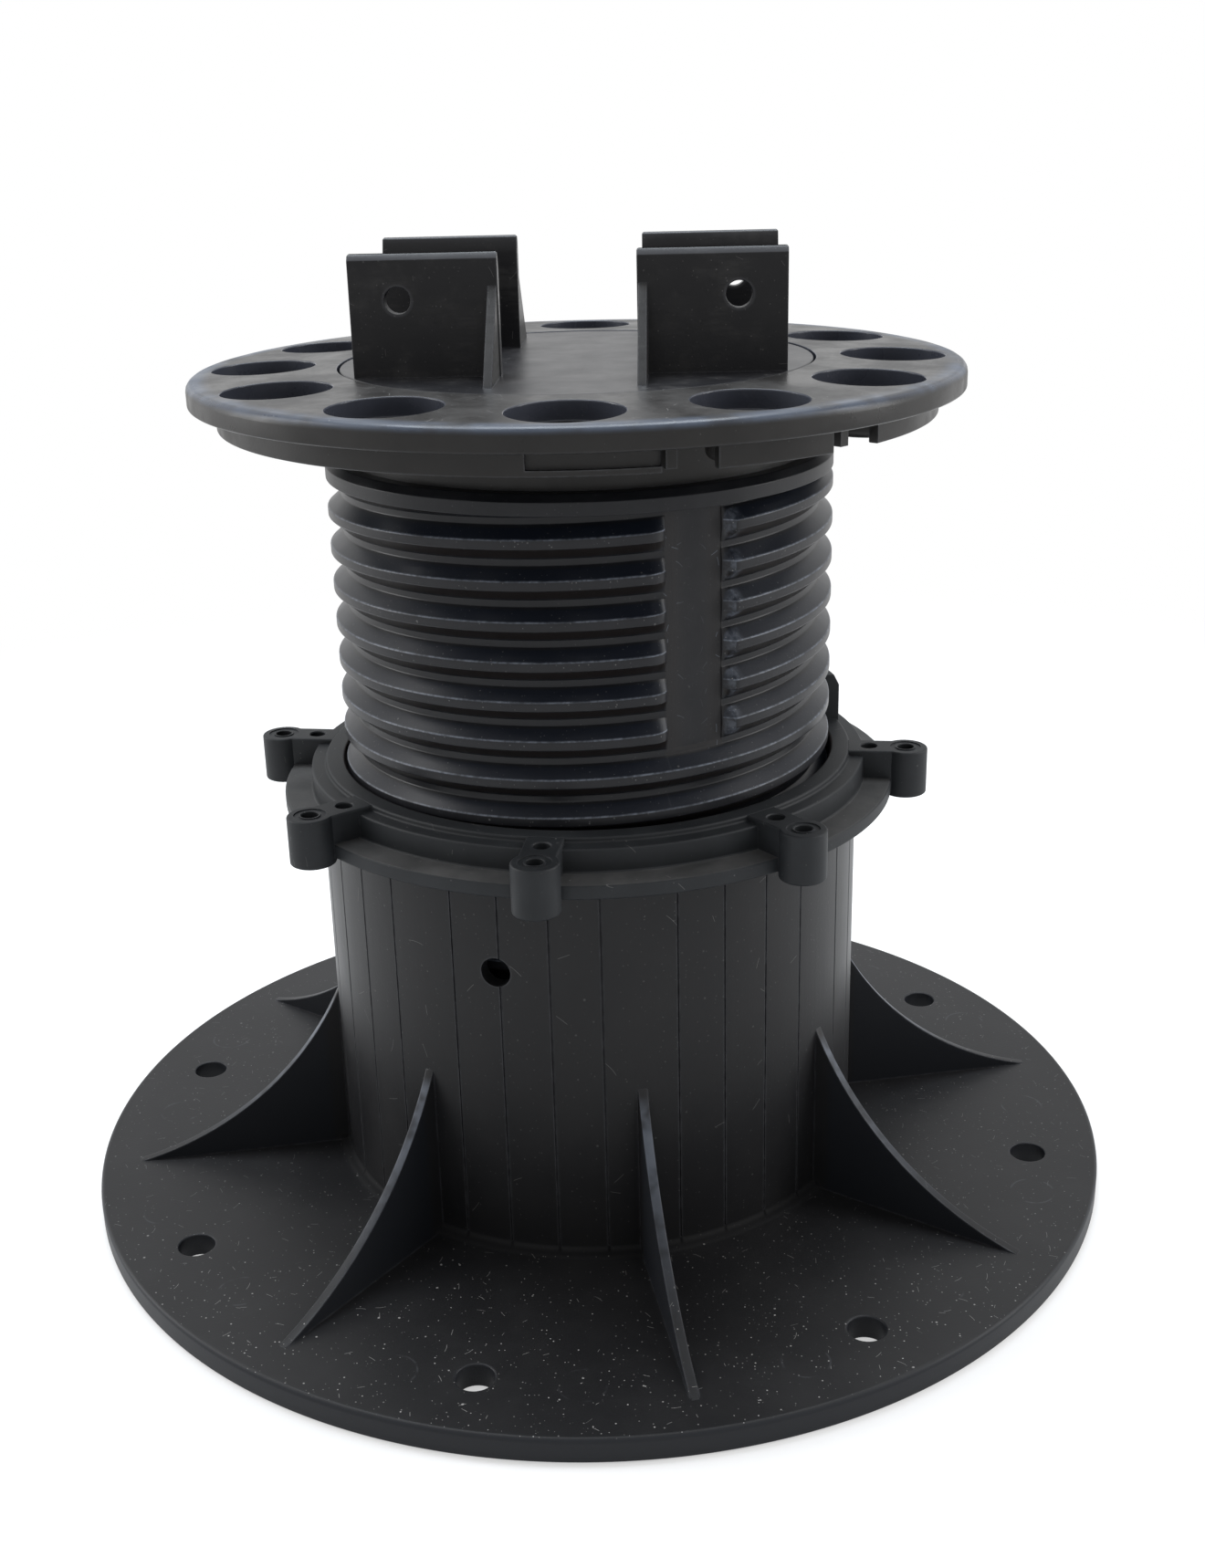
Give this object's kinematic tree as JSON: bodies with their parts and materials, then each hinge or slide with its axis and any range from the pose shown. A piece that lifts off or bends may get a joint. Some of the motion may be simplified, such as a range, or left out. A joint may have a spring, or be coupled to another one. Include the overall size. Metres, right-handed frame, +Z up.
{
  "type": "adjustable decking pedestal",
  "caption": "Round-footed pedestal with a coarse-threaded riser, an adjusting ring and a swivelling joist holder on a flat head plate.",
  "frame": {"origin": "centre of the foot's underside", "axes": "+Z up along the riser's axis, X along the joist channel between the holder's panels, Y across it"},
  "size_m": [0.2, 0.2, 0.1772],
  "materials": {
    "foot_plastic": "satin moulded black plastic, dusty",
    "ring_plastic": "satin moulded black plastic",
    "riser_plastic": "satin moulded black plastic",
    "head_plastic": "satin moulded black plastic",
    "holder_plastic": "satin moulded black plastic"
  },
  "bodies": {
    "foot": {"foot": "foot_plastic"},
    "ring": {"adjusting_ring": "ring_plastic"},
    "column": {"threaded_riser": "riser_plastic", "head_plate": "head_plastic"},
    "holder": {"joist_holder": "holder_plastic"}
  },
  "joints": [
    {"name": "ring_turn", "type": "hinge", "parent": "foot", "child": "ring", "pos_m": [0, 0, 0.0815], "axis": [0, 0, 1], "range_deg": [-1376, 2329]},
    {"name": "riser_lift", "type": "slide", "parent": "foot", "child": "column", "axis": [0, 0, 1], "range_m": [-0.044, 0.026]},
    {"name": "holder_swivel", "type": "hinge", "parent": "column", "child": "holder", "pos_m": [0, 0, 0.157], "axis": [0, 0, 1], "continuous": true}
  ],
  "couplings": [
    {"joint": "riser_lift", "follows": "ring_turn", "m_per_rad": -0.0010823}
  ]
}
